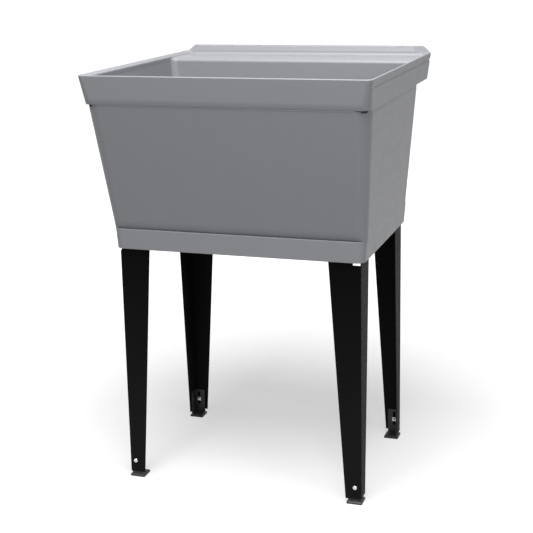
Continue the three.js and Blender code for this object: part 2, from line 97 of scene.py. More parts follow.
SUMP_TOP = 540
SUMP_FLOOR = 537
DRAIN_BORE = 23
BOWL_OVERSHOOT = 8
SPLASH_OVERSHOOT = 5

# Feet's fasteners, in millimetres
BOLT_HEAD = 4.4
BOLT_SEAT = 3
BOLT_CROWN = 2
BOLT_SHANK = 2.4
BOLT_TIP = 0.6
BOLT_PITCH = 0.8
BOLT_UNTHREADED = 4.2
NUT_BORE = 2.75
NUT_EDGE = 0.5

# Drain fitting, in millimetres
THROAT = 18.5
SHANK = 22
SHANK_TURNS = 12
SHANK_PITCH = 2.2
SEAT = SUMP_FLOOR + 0.3
CROSSBARS_DROP = 12
LOCKNUT_BORE = 22.3
LOCKNUT_RADIUS = 31
DISC_FOOT = SUMP_TOP + 0.1
DISC_THICKNESS = 3
LUG_HOLE = 1.7
LUG_HOLE_RISE = 7.5
RING_RADIUS = 9
RING_WIRE = 1.1
RING_GAP = 0.3

# How far a corner's outward direction agrees with its wall's where a dent begins, and where it is full
DENT_FADE = (0.80, 0.97)

# Share of the side walls' dent that is left at their rear ends, under the hem
REAR_RELIEF = 0.3

# Fineness of the meshes: steps, angles in degrees and a distance in metres
ARC = 12
HEM_STEPS = 6
TURNED_STEPS = 96
BOLT_STEPS = 40
RING_STEPS = 72
WIRE_SIDES = 16
SMOOTH_ANGLE = 34
EDGE_ANGLE = 40
WELD = 0.00001

# Studio, in metres
FLOOR_REACH = 30
FLOOR_DROP = 0.0002
FLOOR_GREY = 0.44
FLOOR_GLOW = (0.55, 1.0)
FLOOR_GLOW_REACH = (0.5, 1.8)
WORLD_STRENGTH = 0.1
SEEN_BY = ("Is Camera Ray", "Is Glossy Ray", "Is Transmission Ray")


def section(half, front, rear, corner, rear_corner=None):
    """Half width, front, rear and the radii of the front and rear corners."""
    return (half, front, rear, corner, corner if rear_corner is None else rear_corner)


APRON_TOP = section(HALF, FRONT, REAR, 11, 15)
APRON_KNEE = section(HALF - 5.0, FRONT + 4.9, REAR - 5.0, 19, 15)
APRON_HEM = section(HALF - 6.4, FRONT + 6.5, REAR - 6.5, 21, 15)
BODY_TOP = section(HALF - 6.7, FRONT + 8.5, REAR - 112, 32, 25)
BODY_FOOT = section(HALF - 27, FRONT + 65.5, REAR - 121.5, 20, 26)
BODY_HEEL = section(HALF - 28.3, FRONT + 69.0, REAR - 123.7, 18)
SKIRT_HEAD = section(HALF - 28.4, FRONT + 68.5, REAR - 123.1, 18, 16)
SKIRT_HEM = section(HALF - 31.8, FRONT + 68.8, REAR - 123.3, 17, 15)
UNDERSIDE = section(
    SKIRT_HEM[0] - SKIRT_SIDE_WALL,
    SKIRT_HEM[1] + SKIRT_WALL,
    SKIRT_HEM[2] - SKIRT_WALL,
    5,
)
BOWL_MOUTH = section(HALF - 11.5, FRONT + 11.5, REAR - 124.5, 5, 14)
BOWL_SHOULDER = 800
SHOULDER_CORNER = 20
BOWL_FOOT = section(HALF - 35, FRONT + 73.5, REAR - 130.5, 30)
DECK_SPACE = section(BOWL_MOUTH[0], REAR - 170, REAR - 26, 12)
DRAIN_Y = (BOWL_FOOT[1] + BOWL_FOOT[2]) / 2

# The rim's lip, from the bowl's wall out to its crest: how far outwards, how far under the rim's top
LIP = (
    (0.15, 5.4),
    (0.55, 4.5),
    (1.3, 3.8),
    (2.6, 3.1),
    (7.2, 1.2),
    (8.1, 0.6),
    (8.8, 0.0),
)

# The heel's round over the skirt: height in shares of its own, share of the way in to the skirt, and how
# far the front is dented
HEEL_PROFILE = (
    (0.0, 1.0, HEEL_DENT),
    (0.2, 0.66, 3.2),
    (0.5, 0.28, 2.1),
    (0.8, 0.07, 1.0),
    (1.2, 0.0, 0.3),
    (1.7, 0.0, 0.0),
)

# Relief of the body under the apron: how far under the hem, how far the front stands out, and how far the
# sides stand back
HEM_RELIEF = (
    (9.6, 0.0, 0.0),
    (7.4, 0.0, 0.4),
    (6.0, 0.0, 0.9),
    (4.4, 0.0, 1.2),
    (3.4, 0.2, 1.3),
    (2.4, 0.5, 1.4),
    (1.6, 0.5, 1.4),
    (0.9, 0.0, 1.4),
    (0.5, -0.2, 1.3),
)

# The gap at a front corner under the hem: degrees that it is turned from the front, how far it goes in and
# out from the body's face, then how far under the hem it is half how wide
VOID_TURN = 42
VOID_IN = 7
VOID_OUT = 4
VOID_PROFILE = (
    (5.2, 4.0),
    (4.6, 6.0),
    (3.6, 7.0),
    (0.3, 7.4),
)

# Facets at the backsplash's ends: how far under its top, how far in from the end they start at its face,
# and how far in they leave off at its rear
SPLASH_FACETS = (
    (27.0, 14, 1),
    (20.0, 14, 1),
    (13.0, 28, 2),
    (10.6, 30.4, 5.4),
    (8.2, 32.8, 8.8),
    (5.8, 35.2, 12.2),
    (3.4, 37.6, 15.6),
    (1.0, 40, 19),
    (-0.1, 42, 21),
)

# Shallow groove along the apron's sides: how far under the rim's top, and how deep
SIDE_GROOVE = (
    (19.5, 0.0),
    (18.0, 1.0),
    (16.6, 1.9),
    (15.4, 2.1),
    (14.4, 1.6),
    (13.4, 0.5),
    (12.8, 0.0),
)


# Solids ---------------------------------------------------------------------------------------


def outline(shape, z, front_dent=0.0, side_dent=0.0, rear_share=1.0):
    """Points of a rounded rectangle at height z, counter-clockwise.

    The front and the sides can be dented inwards; a dent fades out along the corners, and the sides'
    dent keeps only a share of its depth at their rear ends.
    """
    half, front, rear, near, far = shape
    corners = (
        (half - near, front + near, near, -0.5, True),
        (half - far, rear - far, far, 0.0, False),
        (-half + far, rear - far, far, 0.5, False),
        (-half + near, front + near, near, 1.0, True),
    )
    points = []
    for cx, cy, radius, start, at_front in corners:
        for i in range(ARC + 1):
            angle = (start + 0.5 * i / ARC) * math.pi
            frontal = -math.sin(angle) if at_front else 0.0
            side = side_dent * (1.0 if at_front else rear_share)
            dent = front_dent * fade(frontal) + side * fade(abs(math.cos(angle)))
            reach = radius - dent
            points.append(Vector((cx + reach * math.cos(angle), cy + reach * math.sin(angle), z)) * MM)
    return points


def fade(value):
    """0 up to the start of a dent's fade, 1 from its end on, and smooth between them."""
    start, end = DENT_FADE
    share = min(max((value - start) / (end - start), 0), 1)
    return share * share * (3 - 2 * share)


def between(low, high, share):
    return tuple(a + (b - a) * share for a, b in zip(low, high))


def inset(shape, by):
    half, front, rear, near, far = shape
    return (half - by, front + by, rear - by, max(near - by, 1), max(far - by, 1))


def quarter(steps=ARC // 2):
    """Shares (across, up) of a quarter circle, from its vertical end to its horizontal end."""
    for i in range(steps + 1):
        angle = 0.5 * math.pi * i / steps
        yield 1 - math.cos(angle), math.sin(angle)


def mesh_object(name, bm):
    bmesh.ops.recalc_face_normals(bm, faces=bm.faces)
    mesh = bpy.data.meshes.new(name)
    bm.to_mesh(mesh)
    bm.free()
    made = bpy.data.objects.new(name, mesh)
    bpy.context.scene.collection.objects.link(made)
    return made


def loft(name, rings):
    """A closed solid through rings of equal point counts."""
    bm = bmesh.new()
    rows = [[bm.verts.new(p) for p in ring] for ring in rings]
    count = len(rows[0])
    for low, high in zip(rows, rows[1:]):
        for i in range(count):
            j = (i + 1) % count
            bm.faces.new((low[i], low[j], high[j], high[i]))
    bm.faces.new(reversed(rows[0]))
    bm.faces.new(rows[-1])
    return mesh_object(name, bm)


def column(name, shape, low, high):
    """A rounded rectangle raised straight up."""
    return loft(name, [outline(shape, low), outline(shape, high)])


def turned(name, profile, steps=TURNED_STEPS):
    """A piece turned about the Z axis: (radius, z) points from its inside bottom outwards and up."""
    bm = bmesh.new()
    rows = []
    for radius, z in profile:
        if radius == 0:
            rows.append([bm.verts.new(Vector((0, 0, z)) * MM)])
            continue
        ring = []
        for i in range(steps):
            angle = 2 * math.pi * i / steps
            place = Vector((radius * math.cos(angle), radius * math.sin(angle), z))
            ring.append(bm.verts.new(place * MM))
        rows.append(ring)
    closed = profile[0][0] != 0
    pairs = list(zip(rows, rows[1:])) + ([(rows[-1], rows[0])] if closed else [])
    for low, high in pairs:
        for i in range(steps):
            j = (i + 1) % steps
            below = [low[i % len(low)], low[j % len(low)]]
            above = [high[j % len(high)], high[i % len(high)]]
            unique = list(dict.fromkeys(below + above))
            if len(unique) > 2:
                bm.faces.new(unique)
    return mesh_object(name, bm)


def pipe(name, radius, low, high, steps=TURNED_STEPS):
    """A plain cylinder on the Z axis."""
    return turned(name, [(0, low), (radius, low), (radius, high), (0, high)], steps)


def combine(target, tool, operation):
    """Joins the tool to the target, cuts it from it or keeps what they share, and removes it."""
    modifier = target.modifiers.new("combine", "BOOLEAN")
    modifier.operation = operation
    modifier.solver = "EXACT"
    modifier.object = tool
    evaluated = target.evaluated_get(bpy.context.evaluated_depsgraph_get())
    result = bpy.data.meshes.new_from_object(evaluated)
    target.modifiers.clear()
    target.data = result
    bpy.data.objects.remove(tool)
    return target


def join(target, tool):
    return combine(target, tool, "UNION")


def cut(target, tool):
    return combine(target, tool, "DIFFERENCE")


def smooth(piece):
    """Welds a mesh, shades it smooth up to an angle and weights its normals by face area."""
    bm = bmesh.new()
    bm.from_mesh(piece.data)
    bmesh.ops.remove_doubles(bm, verts=bm.verts, dist=WELD)
    bmesh.ops.dissolve_degenerate(bm, edges=bm.edges, dist=WELD)
    for face in bm.faces:
        face.smooth = True
    for edge in bm.edges:
        edge.smooth = len(edge.link_faces) == 2 and edge.calc_face_angle(0) < math.radians(SMOOTH_ANGLE)
    bm.to_mesh(piece.data)
    bm.free()
    weighted = piece.modifiers.new("normals", "WEIGHTED_NORMAL")
    weighted.keep_sharp = True
    return piece


def on_drain(piece):
    """Moves a piece made round the origin to the drain's axis."""
    piece.data.transform(Matrix.Translation(Vector((0, DRAIN_Y, 0)) * MM))
    return piece


# Tub ------------------------------------------------------------------------------------------


def apron():
    rings = []
    for i in range(HEM_STEPS + 1):
        rise = i / HEM_STEPS
        wall = between(APRON_HEM, APRON_KNEE, rise)
        rings.append(outline(wall, APRON_BOTTOM + HEM_HEIGHT * rise, HEM_CURL * (1 - rise) ** 2))
    start = RIM_TOP - RIM_ROUND
    for under, depth in SIDE_GROOVE:
        share = (start - RIM_TOP + under) / (start - APRON_BOTTOM - HEM_HEIGHT)
        rings.append(outline(between(APRON_TOP, APRON_KNEE, share), RIM_TOP - under, side_dent=depth))
    for across, up in quarter():
        rings.append(outline(inset(APRON_TOP, RIM_ROUND * across), start + RIM_ROUND * up))
    return loft("apron", rings)


def body():
    """The tapered panel: its front is set back above the skirt and ridged under the apron."""
    height = APRON_BOTTOM - SKIRT_TOP - HEEL_HEIGHT
    rings = [outline(inset(BODY_HEEL, HEEL_TUCK), SKIRT_TOP - HEEL_LAP, HEEL_DENT)]
    for rise, tuck, dent in HEEL_PROFILE:
        wall = between(BODY_FOOT, BODY_TOP, max(rise - 1, 0) * HEEL_HEIGHT / height)
        rings.append(outline(between(wall, BODY_HEEL, tuck), SKIRT_TOP + rise * HEEL_HEIGHT, dent))
    for under, proud, back in HEM_RELIEF:
        wall = between(BODY_FOOT, BODY_TOP, 1 - under / height)
        rings.append(outline(wall, APRON_BOTTOM - under, -proud, back, REAR_RELIEF))
    rings.append(outline(BODY_TOP, APRON_BOTTOM))
    rings.append(outline(BODY_TOP, DECK_TOP - 1))
    return loft("body", rings)


def corner_void(side):
    """The small dark gap between a front corner of the body and the apron's hem."""
    turn = math.radians(VOID_TURN)
    centre = Vector((side * (BODY_TOP[0] - BODY_TOP[3]), BODY_TOP[1] + BODY_TOP[3], 0))
    out = Vector((side * math.sin(turn), -math.cos(turn), 0))
    along = Vector((-out.y, out.x, 0))
    near, far = BODY_TOP[3] - VOID_IN, BODY_TOP[3] + VOID_OUT
    rings = []
    for under, half_width in VOID_PROFILE:
        corners = ((near, -half_width), (far, -half_width), (far, half_width), (near, half_width))
        lift = Vector((0, 0, APRON_BOTTOM - under))
        rings.append([(centre + out * o + along * a + lift) * MM for o, a in corners])
    return loft("void", rings)


def skirt():
    """The band at the tub's foot; only its front keeps a rounded upper edge."""
    rings = []
    for across, up in quarter(3):
        rings.append(outline(inset(SKIRT_HEM, SKIRT_EDGE * (1 - up)), SKIRT_BOTTOM + SKIRT_EDGE * across))
    for across, up in quarter(3):
        top = SKIRT_TOP - SKIRT_EDGE + SKIRT_EDGE * up
        rings.append(outline(SKIRT_HEAD, top, SKIRT_EDGE * across))
    return loft("skirt", rings)


def under_rim():
    """The hollows behind the apron: one up to the deck behind the body, low ones at the front corners."""
    half, rear = APRON_HEM[0] - APRON_WALL, APRON_HEM[2] - APRON_WALL
    front, middle = BODY_TOP[1] + 0.5, BODY_TOP[2] - BODY_TOP[4]
    low = APRON_BOTTOM - 1
    front_plan = section(half, front, middle + 1, APRON_HEM[3] - APRON_WALL, 1)
    rear_plan = section(half, middle, rear, 1, APRON_HEM[4] - APRON_WALL)
    hollow = column("hollow", rear_plan, low, DECK_TOP - DECK_THICKNESS)
    join(hollow, column("corners", front_plan, low, APRON_BOTTOM + CORNER_HOLLOW))
    return cut(hollow, column("core", BODY_TOP, low - 2, DECK_TOP))


def deck_space():
    """The space over the deck, whose sides follow the rim's lip."""
    rings = []
    for across, up in quarter(3):
        rings.append(outline(inset(DECK_SPACE, DECK_FILLET * (1 - up)), DECK_TOP + DECK_FILLET * across))
    for outwards, under in LIP[3:]:
        rings.append(outline(inset(DECK_SPACE, -outwards), RIM_TOP - under))
    rings.append(outline(inset(DECK_SPACE, -LIP[-1][0]), SPLASH_TOP + SPLASH_OVERSHOOT))
    return loft("deck_space", rings)


def bowl_space():
    """The bowl: sump, rounded foot, walls, the deck's round nose behind them and the rim's lip."""
    sump = section(SUMP_RADIUS, DRAIN_Y - SUMP_RADIUS, DRAIN_Y + SUMP_RADIUS, SUMP_RADIUS - 0.01)
    rings = [outline(sump, z) for z in (SUMP_FLOOR, SUMP_TOP)]
    nose_foot = DECK_TOP - DECK_NOSE_HEIGHT
    for across, up in quarter(8):
        rise = BOWL_FILLET * across
        shrink = BOWL_FILLET * (1 - up)
        wall = between(BOWL_FOOT, BOWL_MOUTH, rise / (nose_foot - BOWL_FLOOR))
        foot = inset(wall, shrink)[:3]
        rings.append(outline((*foot, wall[3] - shrink / 2, wall[4] - shrink / 2), BOWL_FLOOR + rise))
    half, front, rear, near, far = BOWL_MOUTH
    wall = between(BOWL_FOOT, BOWL_MOUTH, (BOWL_SHOULDER - BOWL_FLOOR) / (nose_foot - BOWL_FLOOR))
    rings.append(outline((*wall[:3], SHOULDER_CORNER, wall[4]), BOWL_SHOULDER))
    for across, up in quarter(8):
        back = DECK_NOSE_DEPTH * across
        rings.append(outline((half, front, rear + back, near, far), nose_foot + DECK_NOSE_HEIGHT * up))
    mouth = (half, front, rear + DECK_NOSE_DEPTH, near, far)
    for outwards, under in LIP:
        rings.append(outline(inset(mouth, -outwards), RIM_TOP - under))
    rings.append(outline(inset(mouth, -LIP[-1][0]), RIM_TOP + BOWL_OVERSHOOT))
    return loft("bowl_space", rings)


def splash_plan(under, start, end):
    """Plan of the backsplash at one height: facets cut its ends from its face to its rear corners."""
    reach = SPLASH_FACET_REACH
    rise = min(max(1 - under / (SPLASH_TOP - RIM_TOP), 0), 1)
    face = SPLASH_FACE_FOOT + (SPLASH_FACE_TOP - SPLASH_FACE_FOOT) * rise
    slope = (start - end) / (REAR - face)
    near, far = HALF - start - reach * slope, HALF - end + slope
    corners = ((-near, face - reach), (near, face - reach), (far, REAR + 1), (-far, REAR + 1))
    return [Vector((x, y, SPLASH_TOP - under)) * MM for x, y in corners]


def splash():
    """The backsplash: a bar with rounded edges whose ends are cut off by slanting facets."""
    profile = splash_profile()
    bar = loft("splash", [[Vector((x, y, z)) * MM for y, z in profile] for x in (-HALF, HALF)])
    ends = loft("ends", [splash_plan(*facet) for facet in SPLASH_FACETS])
    envelope = loft("envelope", [
        outline(APRON_HEM, APRON_BOTTOM),
        outline(APRON_KNEE, APRON_BOTTOM + HEM_HEIGHT),
        outline(APRON_TOP, RIM_TOP - RIM_ROUND),
        outline(APRON_TOP, SPLASH_TOP + SPLASH_OVERSHOOT),
    ])
    return combine(combine(bar, ends, "INTERSECT"), envelope, "INTERSECT")


def splash_profile():
    """Y and Z round the backsplash, from its rear foot over the top to the deck."""
    foot = DECK_TOP - DECK_THICKNESS
    shoulder = SPLASH_TOP - SPLASH_EDGE
    points = [(REAR, foot)]
    for across, up in quarter(4):
        points.append((REAR - SPLASH_EDGE * across, shoulder + SPLASH_EDGE * up))
    for across, up in reversed(list(quarter(4))):
        points.append((SPLASH_FACE_TOP + SPLASH_EDGE * across, shoulder + SPLASH_EDGE * up))
    for across, up in quarter():
        points.append((SPLASH_FACE_FOOT - SPLASH_FILLET * across, DECK_TOP + SPLASH_FILLET * (1 - up)))
    points.append((SPLASH_FACE_FOOT - SPLASH_FILLET, foot))
    return points


def make_tub():
    tub = apron()
    cut(tub, under_rim())
    cut(tub, deck_space())
    join(tub, body())
    join(tub, skirt())
    join(tub, splash())
    cut(tub, bowl_space())
    for side in (-1, 1):
        cut(tub, corner_void(side))
    cut(tub, column("underside", UNDERSIDE, SKIRT_BOTTOM - 1, CEILING))
    cut(tub, on_drain(pipe("bore", DRAIN_BORE, CEILING - 1, SUMP_FLOOR + 1)))
    tub.name = "tub_moulding"
    return smooth(tub)


# Materials ------------------------------------------------------------------------------------


TUB_COLOR = (0.235, 0.239, 0.256)
LEG_BLACK = (0.001, 0.001, 0.001)
# The legs' colour near the floor: painted light, standing in for the lower legs being less shaded by the
# tub above
LEG_PAINTED_LIGHT_COLOR = (0.010, 0.009, 0.0095)
# Heights in metres: below the first the legs' painted light is full, above the second it is gone
PAINTED_LIGHT_FADE = (0.1, 0.48)
NOISE_RANGE = (0.35, 0.65)

# The plainer materials: colour, roughness, metallic, the range of the roughness with its scale, and the
# scale and height of the grain
PLAIN = {
    "foot_plastic": ((0.012, 0.011, 0.012), 0.5, 0.0, (0.42, 0.56, 200), (1100, 0.00004)),
    "zinc": ((0.62, 0.63, 0.65), 0.28, 1.0, (0.22, 0.4, 500), (2500, 0.00001)),
    "stainless": ((0.58, 0.59, 0.61), 0.25, 1.0, (0.18, 0.32, 300), (1800, 0.00001)),
    "rubber": ((0.012, 0.012, 0.012), 0.7, 0.0, (0.62, 0.8, 250), (1500, 0.00004)),
    "white_plastic": ((0.66, 0.66, 0.63), 0.42, 0.0, (0.36, 0.48, 150), (1200, 0.00003)),
}


def shader_of(made):
    return made.node_tree.nodes["Principled BSDF"]


def material(name, color, roughness, metallic=0.0):
    made = bpy.data.materials.new(name)
    made.use_nodes = True
    shader = shader_of(made)
    shader.inputs["Base Color"].default_value = (*color, 1)
    shader.inputs["Roughness"].default_value = roughness
    shader.inputs["Metallic"].default_value = metallic
    return made


def noise(made, scale, detail):
    tree = made.node_tree
    place = tree.nodes.new("ShaderNodeTexCoord")
    texture = tree.nodes.new("ShaderNodeTexNoise")
    texture.inputs["Scale"].default_value = scale
    texture.inputs["Detail"].default_value = detail
    tree.links.new(place.outputs["Object"], texture.inputs["Vector"])
    return texture


def vary(made, socket, low, high, scale):
    """Drives a shader socket between two values, or colours, by noise of a given scale."""
    tree = made.node_tree
    texture = noise(made, scale, detail=3)
    ramp = tree.nodes.new("ShaderNodeValToRGB")
    for element, position, value in zip(ramp.color_ramp.elements, NOISE_RANGE, (low, high)):
        element.position = position
        element.color = (*value, 1) if isinstance(value, tuple) else (value, value, value, 1)
    tree.links.new(texture.outputs["Fac"], ramp.inputs["Fac"])
    tree.links.new(ramp.outputs["Color"], shader_of(made).inputs[socket])


def bump(made, scale, height):
    """Gives a material a grain of a given scale, and height in metres."""
    tree = made.node_tree
    texture = noise(made, scale, detail=2)
    relief = tree.nodes.new("ShaderNodeBump")
    relief.inputs["Strength"].default_value = 1
    relief.inputs["Distance"].default_value = height
    tree.links.new(texture.outputs["Fac"], relief.inputs["Height"])
    tree.links.new(relief.outputs["Normal"], shader_of(made).inputs["Normal"])


def tint(color, by):
    return tuple(channel * by for channel in color)


def tub_material():
    made = material("tub_plastic", TUB_COLOR, 0.45)
    shader_of(made).inputs["Specular IOR Level"].default_value = 0.35
    vary(made, "Base Color", tint(TUB_COLOR, 0.993), tint(TUB_COLOR, 1.007), 9)
    vary(made, "Roughness", 0.43, 0.48, 60)
    bump(made, 900, 0.000008)
    return made


def leg_material():
    """Black powder coat, painted lighter towards the floor: painted light standing in for the tub's shade
    on the legs' tops.
    """
    made = material("leg_steel", LEG_BLACK, 0.55)
    tree = made.node_tree
    shader_of(made).inputs["Specular IOR Level"].default_value = 0.04
    # Painted light: the base colour gets lighter from the legs' tops down to the floor
    place = tree.nodes.new("ShaderNodeTexCoord")
    axes = tree.nodes.new("ShaderNodeSeparateXYZ")
    height = tree.nodes.new("ShaderNodeMapRange")
    ramp = tree.nodes.new("ShaderNodeValToRGB")
    ramp.color_ramp.elements[0].color = (*LEG_PAINTED_LIGHT_COLOR, 1)
    ramp.color_ramp.elements[1].color = (*LEG_BLACK, 1)
    height.inputs["From Min"].default_value = PAINTED_LIGHT_FADE[0]
    height.inputs["From Max"].default_value = PAINTED_LIGHT_FADE[1]
    tree.links.new(place.outputs["Object"], axes.inputs[0])
    tree.links.new(axes.outputs["Z"], height.inputs["Value"])
    tree.links.new(height.outputs["Result"], ramp.inputs["Fac"])
    tree.links.new(ramp.outputs["Color"], shader_of(made).inputs["Base Color"])
    vary(made, "Roughness", 0.5, 0.6, 140)
    bump(made, 1400, 0.00005)
    return made


def plain_material(name, color, roughness, metallic, variation, grain):
    made = material(name, color, roughness, metallic)
    vary(made, "Roughness", *variation)
    bump(made, *grain)
    return made


MATERIALS = {"tub_plastic": tub_material(), "leg_steel": leg_material()}
for name, look in PLAIN.items():
    MATERIALS[name] = plain_material(name, *look)


def finish(piece, slot, body, *replaced):
    """Gives a piece its material and body, and hides the CAD nodes that it stands for."""
    piece.data.materials.clear()
    piece.data.materials.append(MATERIALS[slot])
    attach(piece, body)
    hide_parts(*replaced)


# Pieces ---------------------------------------------------------------------------------------

finish(make_tub(), "tub_plastic", "sink", "tub")


def edged_copy(node, width):
    """A copy of a CAD node with its sharp edges rounded."""
    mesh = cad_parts[node].data.copy()
    piece = bpy.data.objects.new(node + "_made", mesh)
    bpy.context.scene.collection.objects.link(piece)
    bm = bmesh.new()
    bm.from_mesh(mesh)
    bmesh.ops.remove_doubles(bm, verts=bm.verts, dist=2 * WELD)
    bmesh.ops.dissolve_limit(bm, angle_limit=math.radians(1), verts=bm.verts, edges=bm.edges)
    limit = math.radians(EDGE_ANGLE)
    sharp = [edge for edge in bm.edges if len(edge.link_faces) == 2 and edge.calc_face_angle(0) > limit]
    bmesh.ops.bevel(
        bm, geom=sharp, offset=width * MM, segments=2, profile=0.5, affect="EDGES", clamp_overlap=True
    )
    bm.to_mesh(mesh)
    bm.free()
    return smooth(piece)


def set_along_y(piece, node, outwards):
    """Turns a piece made on the Z axis so that it stands on a node's axis, which runs along Y."""
    low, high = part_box(node)
    middle = (low + high) / 2
    start = Vector((middle.x, high.y if outwards > 0 else low.y, middle.z))
    turn = Matrix.Rotation(math.radians(-90 if outwards > 0 else 90), 4, "X")
    piece.data.transform(Matrix.Translation(start) @ turn)
    return piece


def bolt(node, outwards):
    """A pan-head bolt with a socket, its shank pointing inwards; z is 0 at the top of its head."""
    low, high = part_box(node)
    head, shank = BOLT_HEAD, BOLT_SHANK
    length = (high.y - low.y) / MM
    foot = -length + BOLT_TIP
    profile = [(0, -length), (shank - 0.5, -length), (shank, foot)]
    for i in range(int((length - BOLT_UNTHREADED) / BOLT_PITCH)):
        z = foot + BOLT_PITCH * i
        profile += [(shank, z + 0.2), (shank - 0.28, z + 0.5)]
    profile += [(shank, -BOLT_SEAT - 0.4), (shank, -BOLT_SEAT)]
    profile += [(head - 0.15, -BOLT_SEAT), (head, -BOLT_SEAT + 0.2), (head, -BOLT_CROWN)]
    for across, up in quarter(6):
        profile.append((head - 2.4 * across, -BOLT_CROWN + 1.9 * up))
    profile += [(1.55, -0.02), (1.35, -0.3), (1.25, -1.5), (0, -1.7)]
    return set_along_y(smooth(turned("bolt", profile, BOLT_STEPS)), node, outwards)


def nut(node):
    """A square nut with chamfered corners and a bore."""
    low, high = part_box(node)
    half, thick = (high.x - low.x) / 2 / MM, (high.y - low.y) / MM
    rise = NUT_EDGE * 0.6
    rings = []
    for z, shrink in ((0, NUT_EDGE), (rise, 0), (thick - rise, 0), (thick, NUT_EDGE)):
        rings.append(outline(section(half - shrink, -half + shrink, half - shrink, 0.8), z))
    made = cut(loft("nut", rings), pipe("bore", NUT_BORE, -1, thick + 1, BOLT_STEPS))
    return set_along_y(smooth(made), node, 1)


def round_size(node):
    """Radius, foot and top of a node that is round about the drain's axis, in millimetres."""
    low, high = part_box(node)
    return (high.x - low.x) / 2 / MM, low.z / MM, high.z / MM


def ring(node, inner):
    """A turned ring that fills a node's height and width, with cut edges."""
    outer, low, high = round_size(node)
    edge = 0.25
    profile = [
        (inner, low + edge),
        (inner + edge, low),
        (outer - edge, low),
        (outer, low + edge),
        (outer, high - edge),
        (outer - edge, high),
        (inner + edge, high),
        (inner, high - edge),
    ]
    return on_drain(smooth(turned(node + "_made", profile)))


def strainer():
    """The flanged cup with its threaded shank and its crossbars."""
    flange, low, high = round_size("drain_strainer")
    profile = [(THROAT, low + 0.3), (THROAT + 0.3, low), (SHANK - 0.5, low), (SHANK, low + 0.5)]
    for i in range(SHANK_TURNS):
        z = low + 1 + SHANK_PITCH * i
        profile += [(SHANK, z), (SHANK - 0.5, z + 0.8), (SHANK - 0.5, z + 1.2), (SHANK, z + 1.8)]
    rim, crown = flange - 0.1, SEAT + 1.2
    profile += [(SHANK, SEAT - 1), (SHANK, SEAT), (flange - 0.3, SEAT), (flange, SEAT + 0.4), (rim, crown)]
    for across, up in quarter(6):
        profile.append((rim - 2.2 * across, crown + (high - crown) * up))
    for outwards, under in ((9, 0.25), (4.5, 0.8), (2, 1.5), (0.6, 2.6), (0, 4)):
        profile.append((THROAT + outwards, high - under))
    cup = turned("strainer", profile)
    top = SUMP_FLOOR - CROSSBARS_DROP
    for angle in (0, 90):
        plan = section(THROAT + 0.5, -1.4, 1.4, 0.5)
        bar = column("bar", plan, top - 2.9, top - 0.3)
        bar.data.transform(Matrix.Rotation(math.radians(angle), 4, "Z"))
        join(cup, bar)
    return on_drain(smooth(cup))


def locknut():
    """A flat ring with six lugs."""
    low, high = round_size("drain_locknut")[1:]
    inner, outer = LOCKNUT_BORE, LOCKNUT_RADIUS
    made = turned("locknut", [
        (inner, low + 0.3),
        (inner + 0.5, low),
        (outer - 0.6, low),
        (outer, low + 0.6),
        (outer, high - 0.6),
        (outer - 0.6, high),
        (inner + 0.5, high),
        (inner, high - 0.3),
    ])
    for i in range(6):
        lug = loft("lug", [
            outline(section(2.6, 29, 34.6, 1.0), low + 0.05),
            outline(section(3.4, 29, 34.9, 1.2), low + 0.8),
            outline(section(3.4, 29, 34.9, 1.2), high - 2.2),
            outline(section(2.6, 29, 34.4, 1.0), high - 1.6),
        ])
        lug.data.transform(Matrix.Rotation(math.radians(60 * i - 90), 4, "Z"))
        join(made, lug)
    return on_drain(smooth(made))


def stopper():
    """The rubber stopper: a flanged plug with a lug for its ring."""
    disc, low, high = round_size("drain_stopper")
    foot, top = DISC_FOOT, DISC_FOOT + DISC_THICKNESS
    profile = [(0, low), (15.4, low), (16.4, low + 0.4), (16.9, low + 1.2), (18, foot - 3.3), (18, foot)]
    profile += [(disc - 0.4, foot), (disc, foot + 0.4), (disc - 0.3, top - 1.3), (disc - 1.2, top - 0.3)]
    profile += [(disc - 2.2, top), (11, top), (9.5, top - 0.3), (7, top - 0.3), (5.8, top), (0, top)]
    made = turned("stopper", profile)
    rings = []
    for half, z in ((4, top - 1), (4, high - 2.4), (3.7, high - 1.2), (2.9, high - 0.4), (1.9, high)):
        rings.append(outline(section(half, -1.8, 1.8, 0.7), z))
    lug = loft("lug", rings)
    hole = pipe("hole", LUG_HOLE, -3, 3, 32)
    pivot = Vector((0, 0, foot + LUG_HOLE_RISE)) * MM
    hole.data.transform(Matrix.Translation(pivot) @ Matrix.Rotation(math.radians(90), 4, "X"))
    join(made, cut(lug, hole))
    return on_drain(smooth(made))


def pull_ring():
    """The wire ring, leaning from the stopper's lug down to its disc."""
    drop = LUG_HOLE_RISE - DISC_THICKNESS - RING_WIRE - RING_GAP
    lean = math.asin(drop / (2 * RING_RADIUS))
    wire = RING_WIRE - 0.01
    bm = bmesh.new()
    rows = []
    for i in range(RING_STEPS):
        turn = 2 * math.pi * i / RING_STEPS
        row = []
        for j in range(WIRE_SIDES):
            around = 2 * math.pi * j / WIRE_SIDES
            reach = RING_RADIUS + wire * math.cos(around)
            x, y = RING_RADIUS + reach * math.cos(turn), reach * math.sin(turn)
            row.append(bm.verts.new(Vector((x, y, wire * math.sin(around))) * MM))
        rows.append(row)
    for low, high in zip(rows, rows[1:] + rows[:1]):
        for j in range(WIRE_SIDES):
            k = (j + 1) % WIRE_SIDES
            bm.faces.new((low[j], low[k], high[k], high[j]))
    made = mesh_object("pull_ring", bm)
    pivot = Vector((0, 0, DISC_FOOT + LUG_HOLE_RISE)) * MM
    made.data.transform(Matrix.Translation(pivot) @ Matrix.Rotation(lean, 4, "Y"))
    return on_drain(smooth(made))


